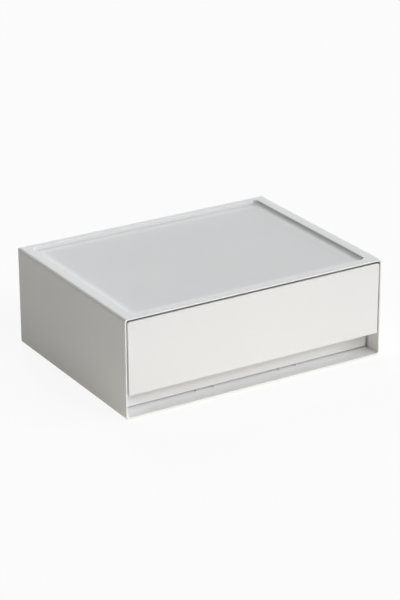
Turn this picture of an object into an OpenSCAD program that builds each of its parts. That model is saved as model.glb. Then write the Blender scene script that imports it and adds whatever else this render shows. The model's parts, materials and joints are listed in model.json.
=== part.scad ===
// Stackable drawer box: one moulded case with a sunken top, and one drawer
// that a free-hanging front edge opens.  Millimetres, +Z up, front towards -Y.
// The origin is the middle of the footprint, on the surface under the feet.

/* [Case] */
// Width of the case
case_w = 340; // [300:1:400]
// Depth of the case, front lip to back
case_d = 255; // [220:1:320]
// Height of the case without its feet
case_h = 120; // [90:1:180]
// Wall of the case
case_wall = 2; // [1.6:0.1:2.6]
// Thickness of the case floor
case_floor = 2.4; // [1.8:0.1:3.2]
// Radius of the outer edges
edge_r = 3.3; // [2:0.1:5]
// Radius round the outside of the front lip
lip_r = 0.8; // [0.4:0.1:0.9]
// Radius round the inside of the front lip
lip_inner_r = 0.6; // [0.3:0.1:0.7]
// Radius of the drawer space's long corners
bay_r = 2.6; // [1:0.1:4]

/* [Sunken top] */
// Depth of the stacking recess
recess_depth = 5; // [3.5:0.1:7]
// Width of the rim at the left and right
rim_side = 13.5; // [10:0.5:20]
// Width of the rim at the front
rim_front = 11; // [10:0.5:20]
// Width of the rim at the back
rim_back = 8; // [5:0.5:12]
// Radius of the cove at the foot of the recess wall
cove_r = 6; // [5.8:0.1:9]
// Radius over the top of the recess wall
brow_r = 1.4; // [1.2:0.1:2]

/* [Runners] */
// Distance of each runner track from the middle
track_x = 56; // [35:0.5:110]
// Distance between the two ribs of a track
track_w = 23; // [16:0.5:32]
// Thickness of a runner rib
rib_t = 1.4; // [1:0.1:2.4]
// Height of a runner rib
rib_h = 1.2; // [1:0.1:2]
// Distance of the ribs' tips from the front
rib_start = 20; // [16:0.5:30]
// Gap between the ribs and the drawer
slide_gap = 0.2; // [0.1:0.05:0.4]

/* [Travel] */
// Distance of the stops from the front
stop_y = 50; // [46:1:120]
// Height of the stop ramps and the stop lugs
stop_h = 0.9; // [0.8:0.05:1]
// Length of a stop ramp's slope
ramp_run = 8; // [5:0.5:12]
// Length of a stop lug and of a ramp's flat top
stop_len = 4; // [2.5:0.5:6]
// Distance from the stop lugs to the back of the tray
lug_inset = 8; // [5:0.5:16]
// Clearance that is left at the stops
stop_gap = 0.5; // [0.2:0.05:0.6]
// Clearance of a stop between the ribs of its track
track_gap = 0.3; // [0.2:0.05:0.6]

/* [Drawer fit] */
// Gap between the case and each side of the drawer at the top of the panel
side_gap = 1.5; // [1.2:0.1:2.5]
// Gap over the front panel
top_gap = 2.5; // [1.5:0.1:3]
// Gap between the tray and the roof over it
tray_gap = 2; // [1:0.1:6]
// Gap behind the closed tray
rear_gap = 0.5; // [0.3:0.1:2]
// Draft of the drawer's sides in degrees
draft = 0.3; // [0.2:0.05:0.8]

/* [Tray] */
// Wall of the tray
tray_wall = 1.8; // [1.4:0.1:2.4]
// Floor of the tray
tray_floor = 1.8; // [1.4:0.1:2.4]
// Radius of the tray's lower and rear edges
tray_r = 3; // [2:0.1:5]
// Radius inside the tray, floor to wall
tray_cove = 4; // [2:0.5:10]
// How far the tray's lip stands out
tray_lip = 0.6; // [0.4:0.1:1]
// Height of the tray's lip
tray_lip_h = 3; // [2:0.5:6]

/* [Front panel] */
// Clear height of the finger gap under the panel
finger_h = 26; // [20:0.5:36]
// Depth of the finger gap, front to tray
finger_d = 22; // [18:0.5:32]
// Thickness of the panel
panel_t = 2.2; // [1.6:0.1:3]
// Wall of the shelf and the sides behind the panel's plate
return_t = 1.6; // [1.2:0.1:2.2]
// Radius of the panel's upper corners
panel_top_r = 3; // [1:0.1:5]
// Radius of the panel's lower corners
panel_low_r = 1; // [0.5:0.1:2]
// Radius of the edge round the panel's face
panel_edge_r = 0.7; // [0.3:0.1:1.2]
// Radius of the grip bead along the panel's lower edge
bead_r = 1.9; // [1.5:0.1:2.6]
// Height that the gussets hang down behind the panel
gusset_h = 34; // [20:1:45]
// Thickness of a gusset
gusset_t = 1.4; // [1:0.1:2]

/* [Clips] */
// Width of a clip
clip_w = 10; // [6:0.5:16]
// Thickness of a clip's arm
clip_t = 1.6; // [1.2:0.1:2]
// Height of a clip's barb
barb_h = 1.2; // [0.8:0.1:1.6]
// Length of a clip's barb
barb_len = 2.6; // [2:0.1:4]
// Clearance of a clip in its slot
clip_gap = 0.2; // [0.1:0.05:0.4]
// Number of clips along the top of the panel
clip_count = 4; // [2:1:6]
// Distance of the upper clips below the top of the tray, and of the lower ones above the panel's edge
clip_drop = 7; // [6:0.5:10]
// Depth of the block that carries a clip
clip_root = 4; // [3:0.5:6]
// Distance between a lower clip and the inside of the tray's wall
clip_side = 3; // [2.5:0.5:8]

/* [Feet] */
// Diameter of a foot
foot_d = 14; // [10:0.5:20]
// Height of a foot under the case
foot_h = 3; // [2:0.1:3.4]
// Gap between a nested foot and the recess wall of the box below
nest_gap = 1.5; // [0.5:0.1:4]
// Height of the ring that a foot sits in
ring_h = 1; // [0.6:0.1:1.4]
// Wall of that ring
ring_t = 1.2; // [0.8:0.1:2]
// Clearance between a foot and its ring
ring_gap = 0.2; // [0.1:0.05:0.4]

/* [Hidden] */
$fn = 64;

case_color = [0.87, 0.87, 0.86];
drawer_color = [0.91, 0.91, 0.90];
foot_color = [0.55, 0.56, 0.57];

// Extra length of cutting bodies
cut = 1;
// How far a round stands proud of a leaning side, so that the two cross and never just touch
weld = 0.002;

// Case: heights are above the case's underside, depths behind its front
bay_half = case_w / 2 - case_wall;
bay_back = case_d - case_wall;
rim_under = case_h - case_wall;
deck_top = case_h - recess_depth;
deck_under = deck_top - case_wall;

// Recess wall: a cove below runs into a brow above, both turning this much
wall_turn = acos(1 - recess_depth / (cove_r + brow_r));
wall_run = (cove_r + brow_r) * sin(wall_turn);
deck_half = case_w / 2 - rim_side - wall_run;
deck_front = rim_front + wall_run;
deck_back = case_d - rim_back - wall_run;

// Drawer
tray_low = case_floor + rib_h + slide_gap;
tray_high = deck_under - tray_gap;
tray_front = finger_d + tray_wall;
tray_back = bay_back - rear_gap;
panel_low = case_floor + finger_h;
panel_high = rim_under - top_gap;
function drawer_half(z) = bay_half - side_gap - (panel_high - z) * tan(draft);

// Stops: the travel is what the lugs run before they meet the ramps
lug_front = tray_back - lug_inset - stop_len;
travel = lug_front - stop_gap - stop_y;
stop_w = track_w - rib_t - 2 * track_gap;

// Clips: a row along the top and one at each lower corner, with gussets midway in the row
clip_pitch = 2 * drawer_half(tray_high) / clip_count;
clip_xs = [for (i = [0 : clip_count - 1]) (i - (clip_count - 1) / 2) * clip_pitch];
gusset_xs = [for (i = [1 : clip_count - 1]) (i - clip_count / 2) * clip_pitch];
clip_z = tray_high - clip_drop;
low_clip_z = panel_low + clip_drop;
low_clip_x = drawer_half(low_clip_z) - tray_wall - clip_side - clip_w / 2;
barb_y = tray_front + clip_gap;

// Feet: their outer edge clears the cove of the box below at their own height
foot_r = foot_d / 2;
rise = recess_depth - foot_h;
foot_reach = wall_run - sqrt(cove_r * cove_r - (cove_r - rise) * (cove_r - rise));
foot_x = case_w / 2 - rim_side - foot_reach - nest_gap - foot_r;
foot_y_front = rim_front + foot_reach + nest_gap + foot_r;
foot_y_rear = case_d - rim_back - foot_reach - nest_gap - foot_r;

// Puts a body that is drawn from the case's front lower edge into the part's frame
module in_place() {
    translate([0, -case_d / 2, foot_h]) children();
}

// Extrudes an X-Z outline along Y
module along_y(from, to) {
    translate([0, to, 0]) rotate([90, 0, 0]) linear_extrude(to - from) children();
}

// Extrudes a Y-Z outline along X
module along_x(from, to) {
    translate([from, 0, 0]) rotate([90, 0, 90]) linear_extrude(to - from) children();
}

// Sideways lean of an outline's straight sides, in degrees
function lean_of(w_low, w_high, h) = atan((w_high - w_low) / 2 / h);

// How far the rounds stand out of the straight sides
function proud(lean) = lean == 0 ? 0 : weld;

// Centre of the round at a lower and at an upper right corner of such an outline
function low_centre(w_low, lean, r) =
    [w_low / 2 - r * (1 - sin(lean)) / cos(lean) + proud(lean), r];
function high_centre(w_low, lean, h, r) =
    [w_low / 2 + ((h - r) * sin(lean) - r) / cos(lean) + proud(lean), h - r];

// Outline that stands on the X axis, with straight sides that may lean and four round corners
module soft_outline(w_low, w_high, h, r_low, r_high) {
    lean = lean_of(w_low, w_high, h);
    low = low_centre(w_low, lean, r_low);
    high = high_centre(w_low, lean, h, r_high);
    side_low = low + r_low * [cos(lean), -sin(lean)] - [proud(lean), 0];
    side_high = high + r_high * [cos(lean), -sin(lean)] - [proud(lean), 0];
    polygon([[-low.x, 0], [low.x, 0], side_low, side_high, [high.x, h],
             [-high.x, h], [-side_high.x, side_high.y], [-side_low.x, side_low.y]]);
    for (side = [-1, 1]) {
        translate([side * low.x, low.y]) circle(r_low);
        translate([side * high.x, high.y]) circle(r_high);
    }
}

// Y-Z outline of a box from Y = -depth / 2 to depth / 2, with its front and rear edge radii
module side_view(depth, height, r_front, r_rear) {
    translate([-depth / 2, height / 2]) rotate(-90)
        soft_outline(height, height, depth, r_front, r_rear);
}

// Section of a cutter that rounds a front edge: X points out of the edge, Y back from the front.
// Way is -1 on an outer edge and 1 on the inner edge of an opening.
module round_section(e, way) {
    difference() {
        translate([way < 0 ? -e : -cut, -cut]) square(e + cut);
        translate([way * (e - weld), e - weld]) circle(e);
    }
}

// Cutter that rounds the whole front edge of a soft outline drawn in X and Z.
// Beside leaning sides the corners are rounded by running the straight cutters on past them.
module front_edge(w_low, w_high, h, r_low, r_high, e, way) {
    lean = lean_of(w_low, w_high, h);
    along = [sin(lean), cos(lean)];
    out = [cos(lean), -sin(lean)];
    low = low_centre(w_low, lean, r_low);
    high = high_centre(w_low, lean, h, r_high);
    past_low = lean == 0 ? 0 : r_low;
    past_high = lean == 0 ? 0 : r_high;
    start = low + r_low * out - past_low * along;
    end = high + r_high * out + past_high * along;
    for (side = [0, 1]) mirror([side, 0, 0]) {
        translate([start.x, 0, start.y]) rotate([0, lean, 0])
            linear_extrude(norm(end - start)) round_section(e, way);
        if (lean == 0) {
            translate([high.x, 0, high.y]) rotate([-90, -90, 0])
                rotate_extrude(angle = 90) translate([r_high, 0]) round_section(e, way);
            translate([low.x, 0, low.y]) rotate([-90, 0, 0])
                rotate_extrude(angle = 90) translate([r_low, 0]) round_section(e, way);
        }
    }
    translate([0, 0, h]) along_x(-high.x - past_high, high.x + past_high)
        rotate(90) mirror([0, 1]) round_section(e, way);
    along_x(-low.x - past_low, low.x + past_low) rotate(-90) round_section(e, way);
}

// Outer form of the case: long and rear edges round, front lip nearly crisp
module case_form() {
    intersection() {
        along_y(0, case_d) soft_outline(case_w, case_w, case_h, edge_r, edge_r);
        linear_extrude(case_h) soft_outline(case_w, case_w, case_d, lip_r, edge_r);
        along_x(-case_w / 2, case_w / 2) translate([case_d / 2, 0])
            side_view(case_d, case_h, lip_r, edge_r);
    }
}

// Space for the drawer, up to the underside of the rim, with the rounding of its mouth
module bay() {
    height = rim_under - case_floor;
    translate([0, 0, case_floor]) {
        along_y(-cut, bay_back) soft_outline(2 * bay_half, 2 * bay_half, height, bay_r, bay_r);
        front_edge(2 * bay_half, 2 * bay_half, height, bay_r, bay_r, lip_inner_r, 1);
    }
}

// Section of the recess wall, from the deck's edge outwards and the deck's face up
module recess_section() {
    meet = cove_r * [sin(wall_turn), 1 - cos(wall_turn)];
    difference() {
        union() {
            intersection() {
                translate([0, cove_r]) circle(cove_r);
                square([meet.x, cove_r]);
            }
            polygon([[0, meet.y], meet, [wall_run, recess_depth - brow_r],
                     [wall_run, recess_depth + cut], [0, recess_depth + cut]]);
        }
        translate([wall_run, recess_depth - brow_r]) circle(brow_r);
    }
}

// The same section grown by the wall, which forms the skin under the recess
module skin_section() {
    intersection() {
        translate([0, cove_r]) circle(cove_r + case_wall);
        translate([0, -case_wall]) square([cove_r + case_wall, case_wall + recess_depth - cut]);
    }
}

// Air over the deck: the flat middle, four walls and four corners
module recess() {
    length = deck_back - deck_front;
    translate([0, 0, deck_top]) {
        translate([-deck_half, deck_front, 0]) cube([2 * deck_half, length, recess_depth + cut]);
        for (side = [0, 1]) mirror([side, 0, 0]) {
            translate([deck_half, 0, 0]) along_y(deck_front, deck_back) recess_section();
            translate([deck_half, deck_back, 0]) rotate_extrude(angle = 90) recess_section();
            translate([deck_half, deck_front, 0]) rotate([0, 0, -90])
                rotate_extrude(angle = 90) recess_section();
        }
        translate([0, deck_back, 0]) along_x(-deck_half, deck_half) recess_section();
        translate([0, deck_front, 0]) mirror([0, 1, 0])
            along_x(-deck_half, deck_half) recess_section();
    }
}

// Body of the deck inside the case, before the recess is cut from it
module deck_body() {
    length = bay_back + cut / 2 - deck_front;
    translate([0, 0, deck_top]) {
        translate([-deck_half, deck_front, -case_wall])
            cube([2 * deck_half, length, case_wall + recess_depth - cut]);
        for (side = [0, 1]) mirror([side, 0, 0]) {
            translate([deck_half, 0, 0]) along_y(deck_front, deck_front + length) skin_section();
            translate([deck_half, deck_front, 0]) rotate([0, 0, -90])
                rotate_extrude(angle = 90) skin_section();
        }
        translate([0, deck_front, 0]) mirror([0, 1, 0])
            along_x(-deck_half, deck_half) skin_section();
    }
}

// One runner rib with a round tip
module rib(x) {
    translate([x, rib_start + rib_t / 2, case_floor - cut]) {
        cylinder(d = rib_t, h = rib_h + cut);
        translate([-rib_t / 2, 0, 0])
            cube([rib_t, bay_back + cut / 2 - rib_start - rib_t / 2, rib_h + cut]);
    }
}

// Stop ramp that the drawer climbs on its way in and meets on its way out
module stop_ramp(x) {
    translate([x, stop_y - stop_len - ramp_run, case_floor])
        along_x(-stop_w / 2, stop_w / 2)
            polygon([[0, -cut], [0, 0], [ramp_run, stop_h], [ramp_run + stop_len, stop_h],
                     [ramp_run + stop_len, -cut]]);
}

// Ring under the case that holds a foot
module foot_ring(x, y) {
    inner = foot_r + ring_gap;
    translate([x, y, -ring_h]) difference() {
        cylinder(r = inner + ring_t, h = ring_h + cut);
        translate([0, 0, -cut]) cylinder(r = inner, h = ring_h + cut);
    }
}

module case_shell() {
    color(case_color) in_place() {
        difference() {
            union() {
                difference() {
                    case_form();
                    bay();
                }
                deck_body();
            }
            recess();
        }
        for (side = [-1, 1]) {
            rib(side * (track_x - track_w / 2));
            rib(side * (track_x + track_w / 2));
            stop_ramp(side * track_x);
            foot_ring(side * foot_x, foot_y_front);
            foot_ring(side * foot_x, foot_y_rear);
        }
    }
}

// Drafted body of the tray, shrunk by a wall all round when it is cut out
module tray_form(low, high, front, back, shrink, r) {
    intersection() {
        translate([0, 0, low]) along_y(front, back)
            soft_outline(2 * (drawer_half(low) - shrink), 2 * (drawer_half(high) - shrink),
                         high - low, r, 0.2);
        translate([0, (front + back) / 2, low])
            along_x(-case_w / 2, case_w / 2) side_view(back - front, 2 * (high - low), 1, r);
        translate([0, front, low]) linear_extrude(high - low)
            soft_outline(2 * (drawer_half(high) - shrink), 2 * (drawer_half(high) - shrink),
                         back - front, 1, r);
    }
}

// Lip round the top of the tray, behind its front wall
module tray_rim() {
    w = 2 * (drawer_half(tray_high) + tray_lip);
    translate([0, tray_front, tray_high - tray_lip_h]) linear_extrude(tray_lip_h)
        soft_outline(w, w, tray_back - tray_front, tray_lip, tray_r);
}

// Lug under the tray that meets a stop ramp, with a slope behind for pushing the drawer in
module stop_lug(x) {
    translate([x, lug_front, tray_low])
        along_x(-stop_w / 2, stop_w / 2)
            polygon([[0, cut], [0, -stop_h], [stop_len, -stop_h], [2 * stop_len, 0],
                     [2 * stop_len, cut]]);
}

// Slot in the tray's front wall that a clip snaps through
module clip_slot(x, z) {
    translate([x - clip_w / 2 - clip_gap, finger_d - cut, z - clip_t - clip_gap])
        cube([clip_w + 2 * clip_gap, tray_wall + 2 * cut, clip_t + barb_h + 2 * clip_gap]);
}

module drawer_tray() {
    color(drawer_color) in_place() {
        difference() {
            union() {
                tray_form(tray_low, tray_high, finger_d, tray_back, 0, tray_r);
                tray_rim();
            }
            tray_form(tray_low + tray_floor, tray_high + cut, tray_front,
                      tray_back - tray_wall, tray_wall, tray_cove);
            for (x = clip_xs) clip_slot(x, clip_z);
            for (side = [-1, 1]) clip_slot(side * low_clip_x, low_clip_z);
        }
        for (side = [-1, 1]) stop_lug(side * track_x);
    }
}

// Block under the panel's outline, drawn in by an inset, from a depth to just past the tray's front
module panel_block(inset, front) {
    high = panel_high - inset;
    low = panel_low - 2 * inset;
    translate([0, 0, low]) along_y(front, finger_d + inset)
        soft_outline(2 * (drawer_half(low) - inset), 2 * (drawer_half(high) - inset),
                     high - low, panel_low_r, panel_top_r - inset / 2);
}

// Space behind the panel's plate, under the shelf
module panel_hollow() {
    intersection() {
        panel_block(return_t, panel_t);
        translate([-case_w / 2, 0, 0]) cube([case_w, case_d, tray_high - return_t]);
    }
}

// Snap clip on a block, from its root to the barb behind the tray's front wall
module clip(x, z, root_high) {
    back = finger_d - clip_gap;
    translate([x, 0, 0]) along_x(-clip_w / 2, clip_w / 2)
        polygon([[back - clip_root, z - clip_t], [barb_y + barb_len, z - clip_t],
                 [barb_y + barb_len, z - clip_t / 2], [barb_y, z + barb_h], [barb_y, z],
                 [back, z], [back, root_high], [back - clip_root, root_high]]);
}

// Web between the plate and the shelf behind it
module gusset(x) {
    low = tray_high - return_t - gusset_h;
    high = tray_high - return_t / 2;
    back = finger_d - clip_gap;
    along_x(x - gusset_t / 2, x + gusset_t / 2)
        polygon([[panel_t / 2, low], [panel_t + clip_root, low], [back, tray_high - clip_drop],
                 [back, high], [panel_t / 2, high]]);
}

module front_panel() {
    height = panel_high - panel_low;
    low_web_x = low_clip_x + clip_w / 2 - cut;
    bead_half = drawer_half(panel_low) - return_t / 2;
    color(drawer_color) in_place() {
        difference() {
            panel_block(0, 0);
            panel_hollow();
            translate([-case_w / 2, panel_t, tray_high]) cube([case_w, case_d, case_h]);
            translate([0, 0, panel_low])
                front_edge(2 * drawer_half(panel_low), 2 * drawer_half(panel_high), height,
                           panel_low_r, panel_top_r, panel_edge_r, -1);
        }
        for (x = gusset_xs) gusset(x);
        for (x = clip_xs) clip(x, clip_z, tray_high - return_t / 2);
        for (side = [-1, 1]) {
            clip(side * low_clip_x, low_clip_z, low_clip_z + clip_t);
            translate([0, finger_d - clip_gap - clip_root, low_clip_z - clip_t])
                mirror([side < 0 ? 1 : 0, 0, 0]) translate([low_web_x, 0, 0])
                    cube([bead_half - low_web_x, clip_root, 2 * clip_t]);
        }
        translate([-bead_half, panel_edge_r + bead_r, panel_low + panel_edge_r / 2 + bead_r])
            rotate([0, 90, 0]) cylinder(r = bead_r, h = 2 * bead_half);
    }
}

// Rubber foot with a broken edge and a shallow dish under it
module foot(x, y) {
    color(foot_color) in_place() translate([x, y, -foot_h])
        rotate_extrude()
            polygon([[0, 0.4], [foot_r - 3, 0.4], [foot_r - 2.6, 0], [foot_r - 0.8, 0],
                     [foot_r - 0.2, 0.6], [foot_r, 2], [foot_r, foot_h], [0, foot_h]]);
}

case_shell();
drawer_tray();
front_panel();
foot(-foot_x, foot_y_front);  // foot_front_left
foot(foot_x, foot_y_front);  // foot_front_right
foot(-foot_x, foot_y_rear);  // foot_rear_left
foot(foot_x, foot_y_rear);  // foot_rear_right
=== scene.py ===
import json
import math

import bmesh
import bpy
from bpy.props import FloatProperty, FloatVectorProperty, PointerProperty
from mathutils import Matrix, Vector


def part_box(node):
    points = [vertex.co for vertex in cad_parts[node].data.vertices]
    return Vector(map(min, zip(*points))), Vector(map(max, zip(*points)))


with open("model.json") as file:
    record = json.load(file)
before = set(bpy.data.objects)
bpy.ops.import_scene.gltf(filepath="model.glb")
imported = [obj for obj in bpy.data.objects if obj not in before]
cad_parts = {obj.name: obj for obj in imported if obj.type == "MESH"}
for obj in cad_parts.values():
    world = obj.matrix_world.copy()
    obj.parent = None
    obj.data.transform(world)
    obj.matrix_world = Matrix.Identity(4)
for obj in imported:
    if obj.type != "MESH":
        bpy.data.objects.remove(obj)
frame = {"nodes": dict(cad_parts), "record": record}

bl_info = {
    "name": "Drawer Box Studio",
    "version": (1, 0, 0),
    "blender": (4, 5, 0),
    "location": "3D View > Sidebar > Drawer Box",
    "description": "Finishes a moulded stackable drawer box and lights it in a plain white studio",
    "category": "Object",
}

OPENINGS = {opening["name"]: opening["box_m"]
            for opening in frame["record"]["physics"]["openings"]}
FEET = sorted(name for name in frame["nodes"] if name.startswith("foot_"))
CASE_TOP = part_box("case_shell")[1].z

WHITE = (1, 1, 1)
SENSOR_WIDTH = 36  # of the camera, in millimetres
LIGHTS = ("main", "right", "back", "left")

# The etched part of the case, in metres from the clear box of the stacking recess; on the recess
# walls its darker tone is painted shade
DECK_REACH = 0.0015  # sideways, out to where the deck meets the walls' cove
DECK_SKIN = 0.0012  # up and down, over the deck's face
WALL_REACH = 0.009  # sideways, out past the walls and short of the case's outer faces
LIP = 0.0006  # edge of the walls' mask, and the smooth band left over it at the rim

# Where a noise counts: most of its values lie between the first two
NOISE_LOW, NOISE_HIGH = 0.3, 0.7
SCUFF_LOW, SCUFF_HIGH = 0.56, 0.72
DUST_LOW, DUST_HIGH = 0.4, 0.75

SCUFF_COLOUR = (0.85, 0.85, 0.845)
SCUFF_SIZE = 0.004
SCUFF_HEIGHT = 0.003  # how far up from the tray's floor the scuffs fade out
SCUFF_ROUGHNESS = 0.3  # what a full scuff adds
FLOOR_GAP = 0.0002  # between the tray's floor and the clear box over it

DUST_SIZE = 0.003
DUST_SHADE = 1.2  # how much lighter dust makes the rubber
DUST_ROUGHNESS = 0.08  # what dust adds, and what bare rubber lacks


def colour_property(name, description, default):
    """A colour that is shown in a swatch and used as written."""
    return FloatVectorProperty(name=name, description=description, default=default,
                               subtype="COLOR", size=3, min=0, max=1)


def length_property(name, description, default):
    """A length in metres."""
    return FloatProperty(name=name, description=description, default=default,
                         subtype="DISTANCE", unit="LENGTH", min=0, precision=5)


def share_property(name, description, default):
    """A share between nothing and all."""
    return FloatProperty(name=name, description=description, default=default,
                         subtype="FACTOR", min=0, max=1)


def strength_property(name, description, default):
    """A light's strength, where 1 shows as white."""
    return FloatProperty(name=name, description=description, default=default, min=0)


def angle_property(name, description, degrees):
    """An angle, given in degrees and kept in radians."""
    return FloatProperty(name=name, description=description, default=math.radians(degrees),
                         subtype="ANGLE", unit="ROTATION")


class CaseFinish(bpy.types.PropertyGroup):
    """Plastic of the case: satin walls and a finely etched deck, with painted shade on the recess
    walls
    """

    colour: colour_property("Colour", "Colour of the plastic", (0.94, 0.94, 0.94))
    roughness: share_property("Wall roughness", "Roughness of the walls and the rim", 0.3)
    deck_roughness: share_property("Deck roughness", "Roughness of the etched deck", 0.66)
    grain: length_property("Grain", "Size of the mould's grain on the walls", 0.0012)
    grain_depth: length_property("Grain depth", "Depth of that grain", 0.000012)
    etch: length_property("Etching", "Size of the etched texture on the deck", 0.0007)
    etch_depth: length_property("Etching depth", "Depth of the etched texture", 0.00003)
    # Darkens the etched deck; on the walls of the stacking recess the same darkening is painted
    # shade
    etch_tone_and_painted_shade: share_property("Etching shade", "How much darker the etching makes the deck", 0.095)
    # The lighter band this fade leaves at the walls' foot is a smoother finish and partly a painted
    # highlight
    fade: length_property("Edge of the etching", "Width over which it fades out on the deck", 0.009)


class DrawerFinish(bpy.types.PropertyGroup):
    """Plastic of the tray and of the panel in front of it"""

    # Lighter than the case: painted light that offsets the shade on the tray's face in the finger
    # recess
    tray_colour_with_painted_light: colour_property("Tray colour", "Colour of the tray", (0.96, 0.96, 0.962))
    # Darker than the case and the tray: painted shade that offsets the strong light on the front
    panel_colour_with_painted_shade: colour_property("Panel colour", "Colour of the front panel",
                                  (0.872, 0.876, 0.888))
    tray_roughness: share_property("Tray roughness", "Roughness of the tray", 0.45)
    panel_roughness: share_property("Panel roughness", "Roughness of the front panel", 0.38)
    grain: length_property("Grain", "Size of the mould's grain", 0.001)
    grain_depth: length_property("Grain depth", "Depth of that grain", 0.00001)
    scuff: share_property("Scuffs", "How much the tray's floor is worn by what lies on it", 0.3)


class FootFinish(bpy.types.PropertyGroup):
    """Rubber of the feet"""

    colour: colour_property("Colour", "Colour of the rubber", (0.26, 0.265, 0.27))
    roughness: share_property("Roughness", "Roughness of the rubber", 0.8)
    grain: length_property("Grain", "Size of the rubber's grain", 0.0005)
    grain_depth: length_property("Grain depth", "Depth of that grain", 0.00004)


class Studio(bpy.types.PropertyGroup):
    """Plain white studio: soft lights in the sky, floor and camera"""

    main_turn: angle_property("Main turn", "Turn of the main light from the front to the right", 15)
    main_rise: angle_property("Main rise", "Height of the main light over the horizon", 40)
    main_spread: angle_property("Main spread", "How far the main light reaches from its middle", 20)
    main_strength: strength_property("Main strength", "Strength of the main light", 6.4)
    main_colour: colour_property("Main colour", "Colour of the main light", (0.97, 0.98, 1))
    right_turn: angle_property("Right turn", "Turn of the right light from the front to the right",
                               60)
    right_rise: angle_property("Right rise", "Height of the right light over the horizon", 20)
    right_spread: angle_property("Right spread", "How far the right light reaches from its middle",
                                 20)
    right_strength: strength_property("Right strength", "Strength of the right light", 7.4)
    right_colour: colour_property("Right colour", "Colour of the right light", (0.985, 0.985, 1))
    back_turn: angle_property("Back turn", "Turn of the back light from the front to the right",
                              165)
    back_rise: angle_property("Back rise", "Height of the back light over the horizon", 40)
    back_spread: angle_property("Back spread", "How far the back light reaches from its middle", 20)
    back_strength: strength_property("Back strength", "Strength of the back light", 6.0)
    back_colour: colour_property("Back colour", "Colour of the back light", (0.99, 1, 1))
    left_turn: angle_property("Left turn", "Turn of the left light from the front to the right",
                              -45)
    left_rise: angle_property("Left rise", "Height of the left light over the horizon", 15)
    left_spread: angle_property("Left spread", "How far the left light reaches from its middle", 20)
    left_strength: strength_property("Left strength", "Strength of the left light", 0.2)
    left_colour: colour_property("Left colour", "Colour of the left light", (1, 0.85, 0.4))
    sky_strength: strength_property("Sky strength", "Strength of the sky all round", 0.03)
    floor_size: length_property("Floor size", "Width of the floor", 24)
    floor_colour: colour_property("Floor colour", "Colour of the floor as it lights the box",
                                  (0.9, 0.872, 0.815))
    floor_glow: share_property("Floor glow", "How far the floor shows as plain white", 0.9)
    fill_strength: strength_property("Fill strength", "Light that the floor in front adds", 0.6)
    fill_colour: colour_property("Fill colour", "Colour of that light", (1, 0.965, 0.8))
    fill_place: length_property("Fill place", "How far in front its middle lies", 0.35)
    fill_size: length_property("Fill size", "How far it reaches from its middle", 0.5)
    camera_place: FloatVectorProperty(
        name="Camera place", description="Where the camera stands", unit="LENGTH", size=3,
        default=(-1.24180, -2.05320, 1.05880))
    camera_turn: angle_property("Camera turn", "Turn of the camera from the front to the left",
                                31.212)
    camera_rise: angle_property("Camera rise", "How far the camera looks down", 22.512)
    camera_roll: angle_property("Camera roll", "Roll of the camera", -0.221)
    lens: FloatProperty(name="Lens", description="Focal length on a 36 mm sensor",
                        default=133.32, min=1, unit="CAMERA")


class Field:
    """A shader socket that takes part in sums written in Python."""

    def __init__(self, graph, socket):
        self.graph = graph
        self.socket = socket

    def __add__(self, other):
        return self.graph.math("ADD", self, other)

    def __sub__(self, other):
        return self.graph.math("SUBTRACT", self, other)

    def __rsub__(self, other):
        return self.graph.math("SUBTRACT", other, self)

    def __mul__(self, other):
        return self.graph.math("MULTIPLY", self, other)

    __radd__ = __add__
    __rmul__ = __mul__

    def size(self):
        """The value without its sign."""
        return self.graph.math("ABSOLUTE", self)


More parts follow.
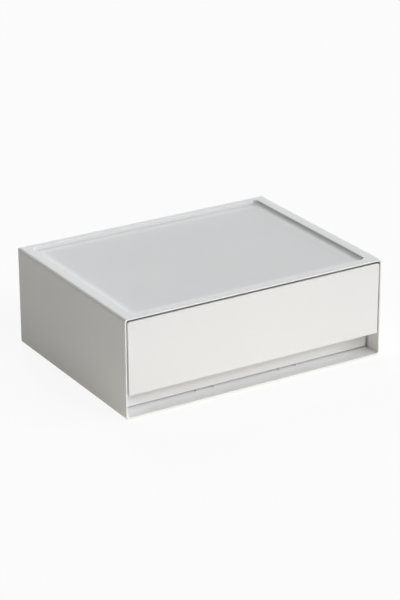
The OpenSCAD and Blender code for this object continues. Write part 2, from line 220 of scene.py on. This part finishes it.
class Graph:
    """The node tree of one material or of the surroundings."""

    def __init__(self, tree):
        self.tree = tree
        tree.nodes.clear()

    def node(self, kind, settings=None, values=None, out=0):
        """Adds a node, sets its settings and then its sockets, and gives one of its outputs."""
        made = self.tree.nodes.new("ShaderNode" + kind)
        for name, setting in (settings or {}).items():
            setattr(made, name, setting)
        for name, value in (values or {}).items():
            socket = made.inputs[name]
            if isinstance(value, Field):
                self.tree.links.new(value.socket, socket)
            elif socket.type == "RGBA":
                socket.default_value = (*value, 1)
            else:
                socket.default_value = value
        return None if out is None else Field(self, made.outputs[out])

    def math(self, operation, *values):
        """One step of maths on numbers."""
        return self.node("Math", {"operation": operation}, dict(enumerate(values)))

    def vector(self, operation, first, second, out=0):
        """One step of maths on two places, ways or colours."""
        return self.node("VectorMath", {"operation": operation}, {0: first, 1: second}, out)

    def position(self, kind="Object"):
        """The place on the object in metres, or the way into the sky, whole and as three fields."""
        place = self.node("TexCoord", out=kind)
        split = self.node("SeparateXYZ", values={"Vector": place})
        return place, [Field(self, output) for output in split.socket.node.outputs]

    def ramp(self, value, low, high, to_low=0.0, to_high=1.0):
        """Value from low to high, carried over to another range and held at its ends."""
        return self.node("MapRange", values={
            "Value": value, "From Min": low, "From Max": high, "To Min": to_low, "To Max": to_high})

    def noise(self, place, size, detail=2.0, roughness=0.5):
        """Noise around 0.5 whose features are about that size."""
        return self.node("TexNoise", values={
            "Vector": place, "Scale": 1 / size, "Detail": detail, "Roughness": roughness})

    def grain(self, place, size):
        """The fine relief that a mould leaves all over."""
        return self.noise(place, size, detail=3, roughness=0.6)

    def patches(self, place, shade_size, darkest, gloss_size, gloss_change):
        """Faint patches: a factor for the colour and a sum for the roughness."""
        shade = self.ramp(self.noise(place, shade_size, detail=3), NOISE_LOW, NOISE_HIGH,
                          darkest, 1.0)
        gloss = self.ramp(self.noise(place, gloss_size), NOISE_LOW, NOISE_HIGH,
                          -gloss_change, gloss_change)
        return shade, gloss

    def grey(self, value):
        """A colour or vector with one value three times."""
        return self.node("CombineXYZ", values={"X": value, "Y": value, "Z": value})

    def mix(self, share, first, second):
        """A colour between two others."""
        return self.node("Mix", {"data_type": "RGBA"}, {"Factor": share, 6: first, 7: second}, 2)

    def tint(self, colour, amount):
        """A colour made lighter or darker all over by a field."""
        return self.vector("MULTIPLY", colour, self.grey(amount))

    def bump(self, height, depth):
        """A normal that follows a height field of that depth in metres."""
        return self.node("Bump", values={"Height": height, "Strength": 1.0, "Distance": depth})

    def surface(self, shader, kind="Material"):
        """Ends the tree in a shader."""
        self.node("Output" + kind, values={"Surface": shader}, out=None)

    def moulding(self, colour, roughness, normal):
        """Ends the tree in plastic or rubber."""
        self.surface(self.node("BsdfPrincipled", values={
            "Base Color": colour, "Roughness": roughness, "Normal": normal}))


def new_material(name):
    """A bare material and its graph."""
    material = bpy.data.materials.new(name)
    material.use_nodes = True
    return material, Graph(material.node_tree)


def dress(nodes, material):
    """Gives nodes of the frame their material."""
    for node in nodes:
        for slot in frame["nodes"][node].material_slots:
            slot.material = material


def etched_and_shaded_part(graph, x, y, z, fade):
    """1 on the deck and on the walls of the stacking recess, and 0 on the rest of the case. Its
    darker tone on the walls is painted shade.
    """
    low, high = (Vector(corner) for corner in OPENINGS["stacking_recess"])
    across = x.size() - high.x
    along = (y - (low.y + high.y) / 2).size() - (high.y - low.y) / 2

    def within(reach, edge):
        """1 up to that reach past the recess's clear box, fading out over an edge inside it."""
        return (graph.ramp(across, reach - edge, reach, 1, 0)
                * graph.ramp(along, reach - edge, reach, 1, 0))

    # The deck's etching fades out near the walls, leaving a lighter band that is partly a painted
    # highlight
    on_deck = (within(DECK_REACH, fade)
               * graph.ramp((z - low.z).size(), DECK_SKIN / 2, DECK_SKIN, 1, 0))
    # Painted shade: the recess walls take the deck's darker etched tone
    walls_etched_and_shaded = (within(WALL_REACH, LIP)
                * graph.ramp(z, low.z, low.z + LIP)
                * graph.ramp(z, CASE_TOP - 2 * LIP, CASE_TOP - LIP, 1, 0))
    return on_deck + walls_etched_and_shaded


class DRAWERBOX_OT_finish_case(bpy.types.Operator):
    """Gives the case its satin walls, its etched deck and painted shade on the recess walls"""

    bl_idname = "drawerbox.finish_case"
    bl_label = "Finish Case"

    def execute(self, context):
        finish = context.scene.drawerbox_case
        material, graph = new_material("case_plastic")
        place, (x, y, z) = graph.position()
        etched = etched_and_shaded_part(graph, x, y, z, finish.fade)
        shade, gloss = graph.patches(place, shade_size=0.09, darkest=0.985,
                                     gloss_size=0.02, gloss_change=0.02)
        grain = graph.grain(place, finish.grain) * (1 - etched)
        etch = graph.noise(place, finish.etch, detail=2, roughness=0.7) * etched
        relief = grain * (finish.grain_depth / finish.etch_depth) + etch
        graph.moulding(
            # Darker on the etched deck and painted shade on the recess walls
            colour=graph.tint(finish.colour, shade * (1 - etched * finish.etch_tone_and_painted_shade)),
            roughness=graph.ramp(etched, 0, 1, finish.roughness, finish.deck_roughness) + gloss,
            normal=graph.bump(relief, finish.etch_depth))
        dress(["case_shell"], material)
        return {"FINISHED"}


class DRAWERBOX_OT_finish_tray(bpy.types.Operator):
    """Gives the tray its plastic, a little worn on the floor inside"""

    bl_idname = "drawerbox.finish_tray"
    bl_label = "Finish Tray"

    def execute(self, context):
        finish = context.scene.drawerbox_drawer
        material, graph = new_material("tray_plastic")
        place, (_, _, z) = graph.position()
        shade, gloss = graph.patches(place, shade_size=0.08, darkest=0.985,
                                     gloss_size=0.02, gloss_change=0.03)
        floor = Vector(OPENINGS["drawer_interior"][0]).z
        on_floor = graph.ramp(z, floor - FLOOR_GAP, floor + SCUFF_HEIGHT, 1, 0)
        marks = graph.noise(place, SCUFF_SIZE, detail=4, roughness=0.75)
        scuff = graph.ramp(marks, SCUFF_LOW, SCUFF_HIGH) * on_floor * finish.scuff
        graph.moulding(
            # The tray's colour carries painted light against the shade in the finger recess
            colour=graph.tint(graph.mix(scuff, finish.tray_colour_with_painted_light, SCUFF_COLOUR), shade),
            roughness=scuff * SCUFF_ROUGHNESS + finish.tray_roughness + gloss,
            normal=graph.bump(graph.grain(place, finish.grain), finish.grain_depth))
        dress(["drawer_tray"], material)
        return {"FINISHED"}


class DRAWERBOX_OT_finish_panel(bpy.types.Operator):
    """Gives the front panel its smooth satin plastic"""

    bl_idname = "drawerbox.finish_panel"
    bl_label = "Finish Front Panel"

    def execute(self, context):
        finish = context.scene.drawerbox_drawer
        material, graph = new_material("panel_plastic")
        place, _ = graph.position()
        shade, gloss = graph.patches(place, shade_size=0.11, darkest=0.987,
                                     gloss_size=0.025, gloss_change=0.025)
        graph.moulding(
            # The panel's colour carries painted shade against the strong light on the front
            colour=graph.tint(finish.panel_colour_with_painted_shade, shade),
            roughness=gloss + finish.panel_roughness,
            normal=graph.bump(graph.grain(place, finish.grain), finish.grain_depth))
        dress(["front_panel"], material)
        return {"FINISHED"}


class DRAWERBOX_OT_finish_feet(bpy.types.Operator):
    """Gives the feet their dull rubber"""

    bl_idname = "drawerbox.finish_feet"
    bl_label = "Finish Feet"

    def execute(self, context):
        finish = context.scene.drawerbox_feet
        material, graph = new_material("foot_rubber")
        place, _ = graph.position()
        dust = graph.noise(place, DUST_SIZE, detail=4, roughness=0.7)
        graph.moulding(
            colour=graph.tint(finish.colour, graph.ramp(dust, DUST_LOW, DUST_HIGH, 1, DUST_SHADE)),
            roughness=graph.ramp(dust, NOISE_LOW, NOISE_HIGH, finish.roughness - DUST_ROUGHNESS,
                                 finish.roughness + DUST_ROUGHNESS),
            normal=graph.bump(graph.grain(place, finish.grain), finish.grain_depth))
        dress(FEET, material)
        return {"FINISHED"}


def direction(turn, rise):
    """Unit vector away from the box: turn goes from the front to the right, rise is upwards."""
    return Vector((math.sin(turn) * math.cos(rise), -math.cos(turn) * math.cos(rise),
                   math.sin(rise)))


def seen_directly(graph):
    """1 for what the camera, a reflection or clear plastic shows, and 0 for light on things."""
    paths = graph.node("LightPath").socket.node.outputs
    camera, glossy, through = (Field(graph, paths[f"Is {kind} Ray"])
                               for kind in ("Camera", "Glossy", "Transmission"))
    return graph.math("MINIMUM", camera + glossy + through, 1.0)


def soft_light(graph, way, studio, name):
    """The glow of one soft light in the sky, strongest in its middle."""
    turn, rise, spread, strength, colour = (
        getattr(studio, f"{name}_{part}")
        for part in ("turn", "rise", "spread", "strength", "colour"))
    facing = graph.vector("DOT_PRODUCT", way, direction(turn, rise), "Value")
    glow = graph.ramp(facing, math.cos(spread), 1) * strength
    return graph.node("VectorMath", {"operation": "SCALE"}, {0: colour, "Scale": glow})


def make_surroundings(studio):
    """Lights the box by soft lights in a dim sky, and shows plain white behind it."""
    world = bpy.data.worlds.new("surroundings")
    world.use_nodes = True
    bpy.context.scene.world = world
    graph = Graph(world.node_tree)
    way, _ = graph.position("Generated")
    sky = graph.grey(studio.sky_strength)
    for name in LIGHTS:
        sky = graph.vector("ADD", sky, soft_light(graph, way, studio, name))
    light = graph.node("Background", values={"Color": sky, "Strength": 1.0})
    white = graph.node("Background", values={"Color": WHITE, "Strength": 1.0})
    shown = graph.node("MixShader", values={0: seen_directly(graph), 1: light, 2: white})
    graph.surface(shown, "World")


def make_floor(studio):
    """A pale floor that shows nearly white, keeps a soft shadow and lights the box from below."""
    form = bmesh.new()
    bmesh.ops.create_grid(form, x_segments=1, y_segments=1, size=studio.floor_size / 2)
    mesh = bpy.data.meshes.new("floor")
    form.to_mesh(mesh)
    form.free()
    floor = bpy.data.objects.new("floor", mesh)
    bpy.context.scene.collection.objects.link(floor)
    material, graph = new_material("floor_paper")
    mesh.materials.append(material)
    place, _ = graph.position()
    seen = seen_directly(graph)
    matte = graph.node("BsdfDiffuse", values={
        "Color": graph.mix(seen, studio.floor_colour, WHITE)})
    far = graph.vector("DISTANCE", place, (0, -studio.fill_place, 0), "Value")
    near = graph.ramp(far, 0, studio.fill_size, 1, 0)
    fill = graph.node("Emission", values={
        "Color": studio.fill_colour, "Strength": studio.fill_strength})
    glow = graph.node("MixShader", values={0: near * (1 - seen), 2: fill})
    lit = graph.node("AddShader", values={0: matte, 1: glow})
    white = graph.node("Emission", values={"Color": WHITE, "Strength": 1.0})
    shown = graph.node("MixShader", values={0: seen * studio.floor_glow, 1: lit, 2: white})
    graph.surface(shown)


def place_camera(studio):
    """Stands the camera where the whole box fills the frame's width."""
    camera = bpy.data.cameras.new("camera")
    camera.lens = studio.lens
    camera.sensor_width = SENSOR_WIDTH
    camera.clip_end = studio.floor_size
    holder = bpy.data.objects.new("camera", camera)
    back = direction(-studio.camera_turn, studio.camera_rise)
    right = (-back).cross(Vector((0, 0, 1))).normalized()
    up = right.cross(-back)
    turned = Matrix((right, up, back)).transposed()
    rolled = turned @ Matrix.Rotation(studio.camera_roll, 3, "Z")
    holder.matrix_world = Matrix.Translation(studio.camera_place) @ rolled.to_4x4()
    bpy.context.scene.collection.objects.link(holder)
    bpy.context.scene.camera = holder


class DRAWERBOX_OT_build_studio(bpy.types.Operator):
    """Builds the white studio: surroundings with their lights, floor and camera"""

    bl_idname = "drawerbox.build_studio"
    bl_label = "Build Studio"

    def execute(self, context):
        studio = context.scene.drawerbox_studio
        context.scene.view_settings.view_transform = "Standard"
        make_surroundings(studio)
        make_floor(studio)
        place_camera(studio)
        return {"FINISHED"}


OPERATORS = (DRAWERBOX_OT_finish_case, DRAWERBOX_OT_finish_tray, DRAWERBOX_OT_finish_panel,
             DRAWERBOX_OT_finish_feet, DRAWERBOX_OT_build_studio)
SETTINGS = {"drawerbox_case": CaseFinish, "drawerbox_drawer": DrawerFinish,
            "drawerbox_feet": FootFinish, "drawerbox_studio": Studio}


class DRAWERBOX_PT_sidebar(bpy.types.Panel):
    """Lists the steps and their sizes and colours"""

    bl_idname = "DRAWERBOX_PT_sidebar"
    bl_label = "Drawer Box"
    bl_space_type = "VIEW_3D"
    bl_region_type = "UI"
    bl_category = "Drawer Box"

    def draw(self, context):
        for operator in OPERATORS:
            self.layout.operator(operator.bl_idname)
        for name in SETTINGS:
            group = getattr(context.scene, name)
            column = self.layout.box().column()
            for setting in group.bl_rna.properties:
                if setting.identifier not in ("rna_type", "name"):
                    column.prop(group, setting.identifier)


def register():
    for group in SETTINGS.values():
        bpy.utils.register_class(group)
    for name, group in SETTINGS.items():
        setattr(bpy.types.Scene, name, PointerProperty(type=group))
    for operator in OPERATORS:
        bpy.utils.register_class(operator)
    bpy.utils.register_class(DRAWERBOX_PT_sidebar)


def unregister():
    bpy.utils.unregister_class(DRAWERBOX_PT_sidebar)
    for operator in reversed(OPERATORS):
        bpy.utils.unregister_class(operator)
    for name in SETTINGS:
        delattr(bpy.types.Scene, name)
    for group in SETTINGS.values():
        bpy.utils.unregister_class(group)


def main():
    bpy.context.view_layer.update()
    register()
    bpy.ops.drawerbox.finish_case()
    bpy.ops.drawerbox.finish_tray()
    bpy.ops.drawerbox.finish_panel()
    bpy.ops.drawerbox.finish_feet()
    bpy.ops.drawerbox.build_studio()


if __name__ == "__main__":
    main()
